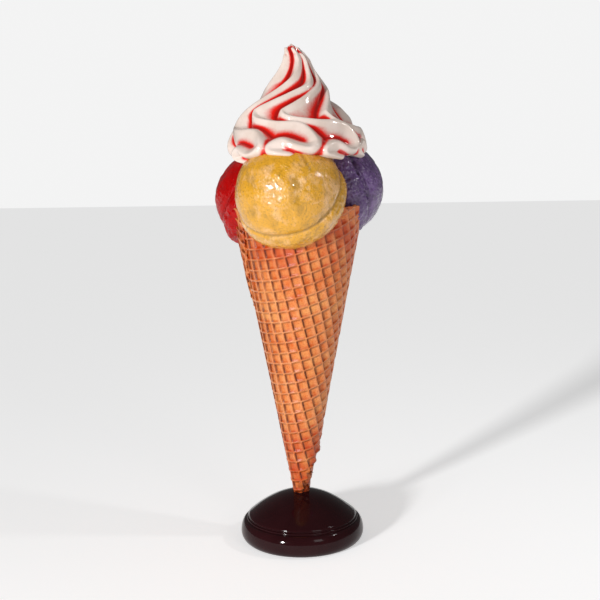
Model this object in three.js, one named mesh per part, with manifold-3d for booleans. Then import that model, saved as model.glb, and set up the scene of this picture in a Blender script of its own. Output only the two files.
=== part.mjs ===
// A shop-display ice cream cone in painted resin: a rolled waffle cone on a round stand,
// filled with three scoops under a piped cream swirl.
// Millimetres, +Z up, standing on z = 0. An angle around the axis is counted from the
// front (-Y) towards the right (+X).

import * as THREE from 'three';
import { mergeVertices } from 'three/addons/utils/BufferGeometryUtils.js';
import Module from 'manifold-3d';

const wasm = await Module();
wasm.setup();

const degree = Math.PI / 180;
const turn = 2 * Math.PI;
const gap = 0.3; // between pieces that touch

const stand = {
  footRadius: 199,
  lipRadius: 228.5,
  lipHeight: 37,
  lipPower: 0.54, // below 1 the upper lip is fuller than an ellipse
  shoulderRadius: 210,
  shoulderHeight: 80,
  domeRadius: 202,
  domeHeight: 94.5,
  top: 182.4,
  socketRadius: 20,
  socketDepth: 34,
  sides: 36,
};

const cone = {
  apexHeight: 24, // where the tapering sides would meet, inside the stand
  halfAngle: 11.094 * degree,
  footHeight: 183,
  rimHeight: 1237,
  bowlHeight: 1205, // floor inside the rim
  coreDepth: 16, // how far the plain core lies under the ribs
  pegTop: 2, // the peg in the stand ends this far above the foot of the sheet
  coreFoot: 24, // and the core has its full width this far above it
  coreSides: 36,
};

const waffle = {
  cell: 38.2, // rib spacing
  uStart: 14.6, // where the ribs cross the sheet's own axes
  vStart: 8.8,
  uLow: -1, // columns and rows of cells that the cut sheet lies inside
  uHigh: 33,
  vLow: -28,
  vHigh: 32,
  splitTurn: 44.2 * degree, // the line that parts the flat sheet in two for rolling
  splitFoot: [152, -52],
  join: 3, // the second part reaches this far into the first, and lies a hair lower
  joinStep: 0.05,
  sheetTurn: 13.53 * degree, // from the sheet's u axis to the front of the cone
  pocketDepth: 6.5,
  ribFoot: 7, // from a rib's crest to the flat of its pocket
  thickness: 22,
  overlapStep: 8, // how far the outer end of the sheet stands off the layer under it
  tuck: 0.012, // share of a turn by which the inner end runs under the outer one
  tear: 2.5, // raggedness of the outer edge
  edgeStep: 40, // length of the straight bits of the torn edges
  cutMargin: 4, // how far the cutter stands clear of both faces of the sheet
  fineReach: 240, // ribs nearer the apex than this bend half way along each cell
};

// The outer edge of the rolled sheet: distance from the apex, angle around the cone.
const seamStations = [
  [140, 10], [211, 23], [256, 45], [290, 77], [355, 93],
  [466, 171], [600, 219], [925, 270], [1010, 291], [1250, 305],
];

const scoops = {
  yellow: { centre: [-28, -155, 1281], radius: 188, pole: [-0.281, -0.691, 0.666], skirt: 0.05, seed: 5 },
  purple: { centre: [139, 60, 1294], radius: 173, pole: [0.74, 0.6, 0.31], skirt: 0.09, seed: 11 },
  red: { centre: [-134, 70, 1261], radius: 168, pole: [-0.55, 0.52, 0.65], skirt: 0.12, seed: 23 },
};
const scoopSides = 22;
const scoopRings = 13;
const scoopLump = 2.2;

const swirl = {
  // radius and height of the envelope that the crests of the folds touch
  envelope: [
    [0, 1800], [19, 1796], [31, 1781], [45, 1755], [64, 1714], [92, 1673], [126, 1627],
    [166, 1583], [206, 1537], [233, 1495], [247, 1458], [247, 1425], [240, 1402],
    [222, 1386], [180, 1376], [110, 1374], [0, 1374],
  ],
  leanHeight: 1578,
  leanReach: 75,
  lean: -13,
  tipBend: -16,
  tipStart: 1735,
  tipHeight: 1786, // where the crests of all folds end
  creaseSlope: 0.95, // fall of a fold's face for each mm away from its crest
  crestRound: 4,
  skew: 0.46, // how much closer a crease lies to the crest below it than to the one above
  skewTurn: 22, // and to the crest on its right, as a turn of that lean
  maxDepth: 40,
  depthShare: 0.5, // no crease is deeper than this share of the radius
  hemHeight: 1400,
  hemInner: 120, // creases fade out under the hem from hemBlend outside this radius inwards
  hemBlend: 60,
  drape: 52, // how far the hem bulges forward over the yellow scoop
  drapeTurn: -8,
  drapeWidth: 80,
  drapeHeight: 1415,
  drapeReach: 110,
  drapeInner: 150, // the cream nearer the axis than this bulges less
  sides: 68,
  rings: 27,
};

// Each fold of cream runs down from the tip, turns back at its heel, turns again at its
// nose and ends in a small curl. Angles in degrees around the axis, heights in mm.
const frontFolds = [
  { heel: -88, heelHeight: 1523, reach: 100, shoulder: 1685, width: 61, drop: 24, nose: 1456, curl: -24 },
  { heel: -48, heelHeight: 1565, reach: 95, shoulder: 1666, width: 62, drop: 44, nose: 1470, curl: -9 },
  { heel: -12, heelHeight: 1562, reach: 95, shoulder: 1678, width: 71, drop: 36, nose: 1467, curl: -18 },
  { heel: 38, heelHeight: 1557, reach: 60, shoulder: 1660, width: 55, drop: 52, nose: 1462, curl: -4 },
];
const backFoldCount = 3;
const foldTemplate = {
  heelHeight: 1562, reach: 84, shoulder: 1652, width: 60, drop: 50, nose: 1462, curl: -6,
};
const foldJitter = { angle: 5, height: 11, seed: 7 };
const stepsPerStation = 20;

function seededRandom(seed) {
  let state = seed >>> 0;
  return () => {
    state = (Math.imul(state, 1664525) + 1013904223) >>> 0;
    return state / 4294967296;
  };
}

function clamp01(value) {
  return Math.min(1, Math.max(0, value));
}

function smooth(value) {
  const t = clamp01(value);
  return t * t * (3 - 2 * t);
}

// Straight-line interpolation through [x, y] stations with rising x.
function along(stations, x) {
  let i = 1;
  while (i < stations.length - 1 && stations[i][0] < x) i += 1;
  const [x0, y0] = stations[i - 1];
  const [x1, y1] = stations[i];
  return y0 + (y1 - y0) * clamp01((x - x0) / (x1 - x0));
}

// A point at a radius and angle around the upright axis.
function around(radius, angle, height) {
  return new THREE.Vector3(radius * Math.sin(angle), -radius * Math.cos(angle), height);
}

// A profile of [radius, height] turned about +Z; it starts and ends on the axis.
function turned(profile, sides) {
  const points = profile.map(([radius, height]) => new THREE.Vector2(radius, height));
  return new THREE.LatheGeometry(points, sides).rotateX(Math.PI / 2);
}

function moveVertices(geometry, place) {
  const position = geometry.attributes.position;
  const point = new THREE.Vector3();
  for (let i = 0; i < position.count; i += 1) {
    point.fromBufferAttribute(position, i);
    place(point);
    position.setXYZ(i, point.x, point.y, point.z);
  }
  return geometry;
}

function toSolid(geometry) {
  const bare = geometry.clone();
  bare.deleteAttribute('normal');
  bare.deleteAttribute('uv');
  const merged = mergeVertices(bare, 1e-3);
  const index = merged.index.array;
  const triangles = [];
  for (let i = 0; i < index.length; i += 3) {
    const [a, b, c] = [index[i], index[i + 1], index[i + 2]];
    if (a !== b && b !== c && c !== a) triangles.push(a, b, c);
  }
  return new wasm.Manifold(new wasm.Mesh({
    numProp: 3,
    vertProperties: new Float32Array(merged.attributes.position.array),
    triVerts: new Uint32Array(triangles),
  }));
}

// Cutting can leave a loose crumb, so only the body with the most triangles is kept.
function largestBody(geometry) {
  const index = geometry.index.array;
  const owner = Array.from({ length: geometry.attributes.position.count }, (_, i) => i);
  const rootOf = (i) => {
    let root = i;
    while (owner[root] !== root) root = owner[root];
    owner[i] = root;
    return root;
  };
  for (let i = 0; i < index.length; i += 3) {
    owner[rootOf(index[i + 1])] = rootOf(index[i]);
    owner[rootOf(index[i + 2])] = rootOf(index[i]);
  }
  const bodies = new Map();
  for (let i = 0; i < index.length; i += 3) {
    const root = rootOf(index[i]);
    if (!bodies.has(root)) bodies.set(root, []);
    bodies.get(root).push(index[i], index[i + 1], index[i + 2]);
  }
  const largest = [...bodies.values()].reduce((best, body) => (body.length > best.length ? body : best));
  return geometry.setIndex(largest);
}

function toGeometry(solid) {
  const mesh = solid.getMesh();
  const geometry = new THREE.BufferGeometry();
  geometry.setAttribute('position', new THREE.BufferAttribute(mesh.vertProperties, 3));
  geometry.setIndex(new THREE.BufferAttribute(mesh.triVerts, 1));
  geometry.computeVertexNormals();
  return geometry;
}

// ---- stand ----

function quarterArc(steps, place) {
  return Array.from({ length: steps }, (_, i) => place((i + 1) / steps * Math.PI / 2));
}

function makeStand() {
  const s = stand;
  const lowerLip = quarterArc(4, (t) => [
    s.footRadius + (s.lipRadius - s.footRadius) * Math.sin(t),
    s.lipHeight * (1 - Math.cos(t)),
  ]);
  const upperLip = quarterArc(4, (t) => [
    s.shoulderRadius + (s.lipRadius - s.shoulderRadius) * Math.cos(t) ** (2 * s.lipPower),
    s.lipHeight + (s.shoulderHeight - s.lipHeight) * Math.sin(t) ** (2 * s.lipPower),
  ]);
  const domeSteps = 5;
  const dome = Array.from({ length: domeSteps + 1 }, (_, i) => {
    const share = 1 - i / domeSteps;
    return [s.domeRadius * share, s.domeHeight + (s.top - s.domeHeight) * (1 - share * share)];
  });
  const body = toSolid(turned([[0, 0], [s.footRadius, 0], ...lowerLip, ...upperLip, ...dome], s.sides));
  const floor = s.top - s.socketDepth;
  const socket = [[0, floor], [s.socketRadius + gap, floor], [s.socketRadius + gap, s.top + 1], [0, s.top + 1]];
  return body.subtract(toSolid(turned(socket, cone.coreSides)));
}

// ---- waffle cone ----

const sinHalf = Math.sin(cone.halfAngle);
const cosHalf = Math.cos(cone.halfAngle);
const sheetSpan = turn * sinHalf; // angle of the flat sheet that makes one full turn
const footReach = (cone.footHeight - cone.apexHeight) / cosHalf;
const rimReach = (cone.rimHeight - cone.apexHeight) / cosHalf;

function seamSheetAngle(reach) {
  return along(seamStations, reach) * degree * sinHalf;
}

// Rolls a point of the flat sheet up into the cone; w is its height above the ribs.
function rollUp(point) {
  const reach = Math.hypot(point.x, point.y);
  const sheetAngle = Math.atan2(point.y, point.x) - waffle.sheetTurn;
  const share = clamp01((sheetAngle - seamSheetAngle(reach)) / sheetSpan + 1);
  const radius = reach * sinHalf + waffle.overlapStep * (share - 0.5) + point.z;
  const rolled = around(radius, sheetAngle / sinHalf, cone.apexHeight + reach * cosHalf);
  point.copy(rolled);
}

// A strip under one crest line, which bends at its middle where the cone is narrow.
function addStrip(triangles, crestFrom, crestTo, lowFrom, lowTo) {
  const middle = crestFrom.map((value, axis) => (value + crestTo[axis]) / 2);
  if (Math.hypot(middle[0], middle[1]) < waffle.fineReach) {
    triangles.push(crestFrom, middle, lowFrom, middle, lowTo, lowFrom, middle, crestTo, lowTo);
  } else {
    triangles.push(crestFrom, crestTo, lowTo, crestFrom, lowTo, lowFrom);
  }
}

// One cell: four sloping sides from the rib crests down to a flat pocket, and the
// matching square on the back of the sheet.
function addCell(triangles, u, v) {
  const { cell, ribFoot, pocketDepth, thickness } = waffle;
  const square = (inset, w) => [
    [u + inset, v + inset, w], [u + cell - inset, v + inset, w],
    [u + cell - inset, v + cell - inset, w], [u + inset, v + cell - inset, w],
  ];
  const crest = square(0, 0);
  const floor = square(ribFoot, -pocketDepth);
  const back = square(0, -thickness);
  for (let k = 0; k < 4; k += 1) {
    const next = (k + 1) % 4;
    addStrip(triangles, crest[k], crest[next], floor[k], floor[next]);
  }
  triangles.push(floor[0], floor[1], floor[2], floor[0], floor[2], floor[3]);
  triangles.push(back[0], back[2], back[1], back[0], back[3], back[2]);
}

function addSheetSide(triangles, from, to) {
  const back = -waffle.thickness;
  addStrip(triangles, [...to, 0], [...from, 0], [...to, back], [...from, back]);
}

// A flat rectangle of waffle, a little larger than the sheet that is cut from it.
function makeFlatWaffle() {
  const { cell, uStart, vStart, uLow, uHigh, vLow, vHigh } = waffle;
  const u = (i) => uStart + i * cell;
  const v = (j) => vStart + j * cell;
  const triangles = [];
  for (let i = uLow; i < uHigh; i += 1) {
    for (let j = vLow; j < vHigh; j += 1) addCell(triangles, u(i), v(j));
    addSheetSide(triangles, [u(i), v(vLow)], [u(i + 1), v(vLow)]);
    addSheetSide(triangles, [u(i + 1), v(vHigh)], [u(i), v(vHigh)]);
  }
  for (let j = vLow; j < vHigh; j += 1) {
    addSheetSide(triangles, [u(uHigh), v(j)], [u(uHigh), v(j + 1)]);
    addSheetSide(triangles, [u(uLow), v(j + 1)], [u(uLow), v(j)]);
  }
  const geometry = new THREE.BufferGeometry();
  geometry.setAttribute('position', new THREE.Float32BufferAttribute(triangles.flat(), 3));
  return toSolid(geometry);
}

// A cutter with the outline of the sheet that is rolled: a little over one full turn.
function makeSheetCutter() {
  const rows = Math.ceil((rimReach - footReach) / waffle.edgeStep);
  const edge = (share, rough) => Array.from({ length: rows + 1 }, (_, i) => {
    const reach = footReach + (rimReach - footReach) * i / rows;
    const torn = rough * Math.sin(i * 2.1) * Math.cos(i * 0.7) / reach;
    const angle = seamSheetAngle(reach) + (share - 1) * sheetSpan + torn + waffle.sheetTurn;
    return new THREE.Vector2(reach * Math.cos(angle), reach * Math.sin(angle));
  });
  const arc = (reach, fromAngle, toAngle) => {
    const count = 2 * Math.ceil(reach * Math.abs(toAngle - fromAngle) / waffle.cell / 4);
    return Array.from({ length: count - 1 }, (_, i) => {
      const angle = fromAngle + (toAngle - fromAngle) * (i + 1) / count;
      return new THREE.Vector2(reach * Math.cos(angle), reach * Math.sin(angle));
    });
  };
  const inner = edge(-waffle.tuck, 0);
  const outer = edge(1, waffle.tear).reverse();
  const angleOf = (point) => Math.atan2(point.y, point.x);
  const outline = [
    ...inner, ...arc(rimReach, angleOf(inner.at(-1)), angleOf(outer[0])),
    ...outer, ...arc(footReach, angleOf(outer.at(-1)), angleOf(inner[0])),
  ];
  const depth = waffle.thickness + 2 * waffle.cutMargin;
  const cutter = new THREE.ExtrudeGeometry(new THREE.Shape(outline), { depth, bevelEnabled: false });
  return toSolid(cutter.translate(0, 0, waffle.cutMargin - depth));
}

// Rolling up mirrors a sheet, so its triangles are reversed to face outwards again.
function rolledSheet(flat, sink) {
  const geometry = toGeometry(flat).translate(0, 0, -sink);
  geometry.index.array.reverse();
  return toSolid(moveVertices(geometry, rollUp));
}

// Everything on one side of the line that parts the flat sheet, and a little beyond it.
function makeSplitSide(side, beyond) {
  const size = 4 * rimReach;
  const [u, v] = waffle.splitFoot;
  return toSolid(new THREE.BoxGeometry(size, size, size)
    .translate(0, side * (size / 2 - beyond), 0)
    .rotateZ(waffle.splitTurn)
    .translate(u, v, 0));
}

function makeWaffleCone() {
  // The sheet is rolled in two parts, so that neither runs over itself.
  const sheet = makeFlatWaffle().intersect(makeSheetCutter());
  const first = sheet.intersect(makeSplitSide(1, 0));
  const second = sheet.intersect(makeSplitSide(-1, waffle.join));
  const coreRadius = (height) => (height - cone.apexHeight) * sinHalf / cosHalf - cone.coreDepth;
  const core = toSolid(turned([
    [0, stand.top - stand.socketDepth + gap],
    [stand.socketRadius, stand.top - stand.socketDepth + gap],
    [stand.socketRadius, cone.footHeight + cone.pegTop],
    [coreRadius(cone.footHeight + cone.coreFoot), cone.footHeight + cone.coreFoot],
    [coreRadius(cone.bowlHeight), cone.bowlHeight],
    [0, cone.bowlHeight],
  ], cone.coreSides));
  return core.add(rolledSheet(first, 0)).add(rolledSheet(second, waffle.joinStep));
}

// ---- scoops ----

// Gentle lumps: a few slow waves with seeded directions.
function makeLumps(seed) {
  const random = seededRandom(seed);
  const waves = Array.from({ length: 6 }, () => ({
    direction: new THREE.Vector3(random() - 0.5, random() - 0.5, random() - 0.5).normalize(),
    rate: 3 + 4 * random(),
    phase: turn * random(),
  }));
  return (unit) => waves.reduce(
    (sum, wave) => sum + Math.sin(wave.rate * unit.dot(wave.direction) + wave.phase),
    0,
  ) / 2;
}

// A ball with a skirt of squeezed-out ice cream behind it: degrees from its pole, share of
// its radius.
function scoopProfile(skirt) {
  return [
    [0, 1], [30, 1], [60, 1], [83, 0.995], [90, 0.965], [96, 1 + 0.4 * skirt], [107, 1 + skirt],
    [119, 1 + 0.6 * skirt], [131, 0.97], [152, 0.9], [180, 0.88],
  ];
}

function makeScoop({ centre, radius, pole, skirt, seed }, grow = 0) {
  const profile = Array.from({ length: scoopRings + 1 }, (_, i) => {
    const angle = 180 - 180 * i / scoopRings;
    const reach = radius * along(scoopProfile(skirt), angle);
    return [i === 0 || i === scoopRings ? 0 : reach * Math.sin(angle * degree), reach * Math.cos(angle * degree)];
  });
  const lumps = makeLumps(seed);
  const upright = new THREE.Vector3(0, 0, 1);
  const tilt = new THREE.Quaternion().setFromUnitVectors(upright, new THREE.Vector3(...pole).normalize());
  return toSolid(moveVertices(turned(profile, scoopSides), (point) => {
    const unit = point.clone().normalize();
    point.addScaledVector(unit, scoopLump * lumps(unit) + grow);
    point.applyQuaternion(tilt).add(new THREE.Vector3(...centre));
  }));
}

// ---- cream swirl ----

const envelopeCurve = new THREE.SplineCurve(
  swirl.envelope.map(([radius, height]) => new THREE.Vector2(radius, height)),
);
const envelopeTable = envelopeCurve.getPoints(300)
  .map((point) => [point.y, Math.max(0, point.x)])
  .filter(([height], i, all) => i === 0 || height < all[i - 1][0])
  .reverse();

function envelopeRadius(height) {
  return along(envelopeTable, height);
}

function foldStations(fold) {
  const { heel, heelHeight, reach, shoulder, width, drop, nose, curl } = fold;
  const tip = swirl.tipHeight;
  return [
    [heel + reach, tip],
    [heel + 0.97 * reach, (shoulder + tip) / 2],
    [heel + 0.8 * reach, shoulder],
    [heel + 0.42 * reach, shoulder - 0.4 * (shoulder - heelHeight)],
    [heel + 0.06 * reach, heelHeight + 15],
    [heel, heelHeight],
    [heel + 0.1 * width, heelHeight - 0.5 * drop],
    [heel + 0.45 * width, heelHeight - 0.88 * drop],
    [heel + 0.84 * width, heelHeight - 1.06 * drop],
    [heel + width, nose],
    [heel + 0.93 * width, nose - 32],
    [heel + 0.78 * width, nose - 16 + curl],
    [heel + 0.6 * width, nose + 6 + curl],
    [heel + 0.47 * width, nose - 10 + curl],
    [heel + 0.48 * width, nose - 34 + curl],
    [heel + 0.68 * width, nose - 48 + curl],
  ];
}

function allFolds() {
  const random = seededRandom(foldJitter.seed);
  const shift = (amount) => amount * (2 * random() - 1);
  const last = frontFolds.at(-1).heel;
  const spacing = (frontFolds[0].heel + 360 - last) / (backFoldCount + 1);
  const backFolds = Array.from({ length: backFoldCount }, (_, i) => ({
    ...foldTemplate,
    heel: last + spacing * (i + 1) + shift(foldJitter.angle),
    heelHeight: foldTemplate.heelHeight + shift(foldJitter.height),
    shoulder: foldTemplate.shoulder + shift(foldJitter.height),
    nose: foldTemplate.nose + shift(foldJitter.height / 2),
  }));
  return [...frontFolds, ...backFolds];
}

// Crest lines of the folds, as points on the envelope.
function makeCrests() {
  return allFolds().flatMap((fold) => {
    const stations = foldStations(fold).map(([angle, height]) => new THREE.Vector2(angle, height));
    const line = new THREE.SplineCurve(stations).getPoints(stepsPerStation * stations.length);
    return line.map((point) => around(envelopeRadius(point.y), point.x * degree, point.y));
  });
}

// Depth of the cream below the envelope: it falls away from the nearest crest. A point above
// a crest counts as further from it than one below, so each crease hugs the crest under it.
function creaseDepth(point, radius, leaning, crests) {
  const { crestRound, creaseSlope, maxDepth, depthShare, hemHeight, hemInner, hemBlend } = swirl;
  const away = new THREE.Vector3();
  let nearest = Infinity;
  for (const crest of crests) {
    away.subVectors(point, crest);
    nearest = Math.min(nearest, away.length() + away.dot(leaning));
  }
  const fall = creaseSlope * (Math.sqrt(nearest ** 2 + crestRound ** 2) - crestRound);
  const limit = Math.min(maxDepth, depthShare * radius);
  const under = point.z < hemHeight ? clamp01((radius - hemInner) / hemBlend) : 1;
  return limit * Math.tanh(fall / limit) * under;
}

// How far the cream is pushed outwards where its hem lies over the yellow scoop.
function drapeAt(point, radius) {
  const { drape, drapeTurn, drapeWidth, drapeHeight, drapeReach, drapeInner } = swirl;
  const angle = Math.atan2(point.x, -point.y) / degree;
  return drape * smooth(1 - Math.abs(angle - drapeTurn) / drapeWidth)
    * smooth(1 - Math.abs(point.z - drapeHeight) / drapeReach) * smooth(radius / drapeInner);
}

function bendSwirl(point) {
  const { lean, leanHeight, leanReach, tipBend, tipStart, envelope } = swirl;
  const top = envelope[0][1];
  point.x += lean * smooth(1 - Math.abs(point.z - leanHeight) / leanReach);
  point.x += tipBend * smooth((point.z - tipStart) / (top - tipStart));
}

function makeSwirl() {
  const crests = makeCrests();
  const points = envelopeCurve.getSpacedPoints(swirl.rings).reverse();
  const profile = points.map((point) => [Math.max(0, point.x), point.y]);
  profile[0][0] = 0;
  profile[profile.length - 1][0] = 0;
  return toSolid(moveVertices(turned(profile, swirl.sides), (point) => {
    const radius = Math.hypot(point.x, point.y);
    if (radius > 1) {
      const rise = (envelopeRadius(point.z - 1) - envelopeRadius(point.z + 1)) / 2;
      const side = new THREE.Vector3(point.x / radius, point.y / radius, 0);
      const normal = side.clone().setZ(rise).normalize();
      const upSlope = new THREE.Vector3(0, 0, 1).addScaledVector(normal, -normal.z).normalize();
      const leftwards = new THREE.Vector3(side.y, -side.x, 0);
      const leaning = upSlope.multiplyScalar(swirl.skew * Math.cos(swirl.skewTurn * degree))
        .addScaledVector(leftwards, swirl.skew * Math.sin(swirl.skewTurn * degree));
      const depth = creaseDepth(point, radius, leaning, crests);
      const push = drapeAt(point, radius);
      point.addScaledVector(normal, -depth).addScaledVector(side, push);
    }
    bendSwirl(point);
  }));
}

// ---- the whole cone ----

function enamel(colour, roughness) {
  return new THREE.MeshStandardMaterial({ color: colour, roughness, metalness: 0 });
}

function piece(name, solid, material) {
  const mesh = new THREE.Mesh(largestBody(toGeometry(solid)), material);
  mesh.name = name;
  return mesh;
}

const yellow = makeScoop(scoops.yellow);
const yellowCut = makeScoop(scoops.yellow, gap);
const purple = makeScoop(scoops.purple).subtract(yellowCut);
const purpleCut = makeScoop(scoops.purple, gap);
const red = makeScoop(scoops.red).subtract(yellowCut).subtract(purpleCut);
const redCut = makeScoop(scoops.red, gap);

function clearOfScoops(solid) {
  return solid.subtract(yellowCut).subtract(purpleCut).subtract(redCut);
}

const iceCreamCone = new THREE.Group();
iceCreamCone.add(
  piece('stand', makeStand(), enamel(0x2a1216, 0.15)),
  piece('waffle_cone', clearOfScoops(makeWaffleCone()), enamel(0xd27a42, 0.45)),
  piece('scoop_yellow', yellow, enamel(0xe3b23c, 0.4)),
  piece('scoop_purple', purple, enamel(0x4b3a66, 0.35)),
  piece('scoop_red', red, enamel(0xb31f24, 0.3)),
  piece('cream_swirl', clearOfScoops(makeSwirl()), enamel(0xe9ddd0, 0.3)),
);

export default iceCreamCone;
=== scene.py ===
# A shop-display ice cream cone in painted resin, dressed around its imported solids.
import math

import bmesh
import bpy
import numpy as np
from mathutils import Matrix, Vector, noise


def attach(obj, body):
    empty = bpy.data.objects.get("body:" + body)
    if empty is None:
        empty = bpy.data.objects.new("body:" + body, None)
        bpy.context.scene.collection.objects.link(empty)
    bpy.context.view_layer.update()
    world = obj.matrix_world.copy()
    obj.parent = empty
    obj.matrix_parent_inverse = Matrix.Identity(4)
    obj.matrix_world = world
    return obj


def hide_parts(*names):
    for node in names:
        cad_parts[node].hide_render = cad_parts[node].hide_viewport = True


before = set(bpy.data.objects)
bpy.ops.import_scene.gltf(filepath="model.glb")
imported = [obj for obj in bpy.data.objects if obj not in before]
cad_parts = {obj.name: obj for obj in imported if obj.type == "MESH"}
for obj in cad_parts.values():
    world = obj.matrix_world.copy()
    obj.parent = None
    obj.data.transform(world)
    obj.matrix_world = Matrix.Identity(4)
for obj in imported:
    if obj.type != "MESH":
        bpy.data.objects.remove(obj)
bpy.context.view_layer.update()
print("frame loaded:", sorted(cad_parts))

# Shapes are worked out in millimetres and turned to metres when a piece is finished.
# An angle around the axis is counted from the front (-Y) towards the right (+X).
metresPerMillimetre = 0.001
fullTurn = 2 * math.pi


def linearColour(hexText):
    # an sRGB hex colour as linear values
    channels = [int(hexText[i:i + 2], 16) / 255 for i in (1, 3, 5)]
    return [c / 12.92 if c <= 0.04045 else ((c + 0.055) / 1.055) ** 2.4 for c in channels] + [1]


def addNode(tree, kind, settings=(), links=()):
    node = tree.nodes.new(kind)
    for name, value in dict(settings).items():
        if isinstance(name, str) and hasattr(node, name):
            setattr(node, name, value)
        else:
            node.inputs[name].default_value = value
    for name, socket in dict(links).items():
        tree.links.new(socket, node.inputs[name])
    return node


def newMaterial(name):
    # a fresh material with its shader, its output and Object coordinates
    material = bpy.data.materials.new(name)
    material.use_nodes = True
    tree = material.node_tree
    tree.nodes.clear()
    shader = addNode(tree, "ShaderNodeBsdfPrincipled")
    addNode(tree, "ShaderNodeOutputMaterial", links={"Surface": shader.outputs["BSDF"]})
    place = addNode(tree, "ShaderNodeTexCoord").outputs["Object"]
    return material, tree, shader, place


def patternScale(millimetres):
    # noise scale for features of this size, as whole cells to the metre
    return round(1000 / millimetres)


def smooth(t):
    t = np.clip(t, 0, 1)
    return t * t * (3 - 2 * t)


def seededRandom(seed):
    # the same even draws as the solids use, so that lumps and folds agree with them
    state = [seed]

    def draw():
        state[0] = (state[0] * 1664525 + 1013904223) % 4294967296
        return state[0] / 4294967296
    return draw


def splinePoints(stations, steps):
    # a smooth line through every station, as rows of coordinates
    stations = np.array(stations, float)
    padded = np.vstack([stations[:1], stations, stations[-1:]])
    rows = []
    for before, start, end, after in zip(padded, padded[1:], padded[2:], padded[3:]):
        for t in np.arange(steps) / steps:
            rows.append(0.5 * (2 * start + (end - before) * t
                               + (2 * before - 5 * start + 4 * end - after) * t * t
                               + (3 * start - before - 3 * end + after) * t ** 3))
    return np.array(rows + [stations[-1]])


def evenlySpaced(line, count):
    # the same line walked in equal steps
    lengths = np.concatenate([[0], np.cumsum(np.linalg.norm(np.diff(line, axis=0), axis=1))])
    wanted = np.linspace(0, lengths[-1], count + 1)
    return np.stack([np.interp(wanted, lengths, line[:, k]) for k in range(line.shape[1])], axis=1)


def spinProfile(profile, steps):
    # a line of (radius, height) points turned once about the upright axis
    mesh = bmesh.new()
    points = [mesh.verts.new((0, -max(0, radius), height)) for radius, height in profile]
    lines = [mesh.edges.new(pair) for pair in zip(points, points[1:])]
    bmesh.ops.spin(mesh, geom=points + lines, cent=(0, 0, 0), axis=(0, 0, 1),
                   angle=fullTurn, steps=steps, use_merge=True, use_duplicate=False)
    bmesh.ops.remove_doubles(mesh, verts=mesh.verts, dist=1e-3)
    bmesh.ops.recalc_face_normals(mesh, faces=mesh.faces)
    return mesh


def readVertices(mesh):
    return np.array([vertex.co[:] for vertex in mesh.verts])


def writeVertices(mesh, positions):
    for vertex, position in zip(mesh.verts, positions):
        vertex.co = position


def writeLayer(mesh, name, values):
    layer = mesh.verts.layers.float.new(name)
    for vertex, value in zip(mesh.verts, values):
        vertex[layer] = float(value)


def fractalNoise(positions, grain, octaves=3):
    # slow noise about 0, with bumps about one grain across
    return np.array([noise.fractal(Vector(p) / grain, 1.0, 2.0, octaves) for p in positions])


def finishPiece(mesh, name, node, material):
    bmesh.ops.scale(mesh, vec=[metresPerMillimetre] * 3, verts=mesh.verts)
    data = bpy.data.meshes.new(name)
    mesh.to_mesh(data)
    mesh.free()
    data.shade_smooth()
    data.materials.append(material)
    piece = bpy.data.objects.new(name, data)
    bpy.context.collection.objects.link(piece)
    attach(piece, "root")
    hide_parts(node)
    print(name, "made:", len(data.polygons), "faces")


stand = {
    "footRadius": 198.5,
    "lipRadius": 228,
    "lipHeight": 37,
    "lipPower": 0.54,      # below 1 the upper lip is fuller than an ellipse
    "shoulderRadius": 209.5,
    "shoulderHeight": 80,
    "beadRadius": 202.5,
    "beadHeight": 84,
    "beadSize": 3.4,
    "domeRadius": 201.5,
    "domeHeight": 94,
    "top": 182,
    "unevenness": 0.5,
    "steps": 160,
    "smearSize": 111,
    "peelSize": 22,        # drawn coarser than real orange peel, to show
    "enamel": "#1a0305",
    "enamelWorn": "#2c1013",
}


def makeStandEnamel():
    # Dark brown enamel sprayed on moulded resin: nearly black, glassy, with slow orange peel
    # that bends its highlights, and a few dull smears where dust was wiped off.
    material, tree, shader, place = newMaterial("gloss_enamel_brown")
    smears = addNode(tree, "ShaderNodeTexNoise", {
        "Scale": patternScale(stand["smearSize"]), "Detail": 5, "Roughness": 0.6,
    }, {"Vector": place})
    colour = addNode(tree, "ShaderNodeMix", {
        "data_type": "RGBA", 6: linearColour(stand["enamel"]), 7: linearColour(stand["enamelWorn"]),
    }, {0: smears.outputs["Fac"]})
    tree.links.new(colour.outputs[2], shader.inputs["Base Color"])
    dull = addNode(tree, "ShaderNodeMapRange", {
        "From Min": 0.35, "From Max": 0.75, "To Min": 0.08, "To Max": 0.22,
    }, {"Value": smears.outputs["Fac"]})
    tree.links.new(dull.outputs["Result"], shader.inputs["Roughness"])
    peel = addNode(tree, "ShaderNodeTexNoise", {"Scale": patternScale(stand["peelSize"]), "Detail": 2},
                   {"Vector": place})
    bump = addNode(tree, "ShaderNodeBump", {"Strength": 0.12, "Distance": 0.002},
                   {"Height": peel.outputs["Fac"]})
    tree.links.new(bump.outputs["Normal"], shader.inputs["Normal"])
    shader.inputs["IOR"].default_value = 1.5
    shader.inputs["Specular IOR Level"].default_value = 0.08
    shader.inputs["Coat Weight"].default_value = 0.2
    shader.inputs["Coat Roughness"].default_value = 0.03
    return material


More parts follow.
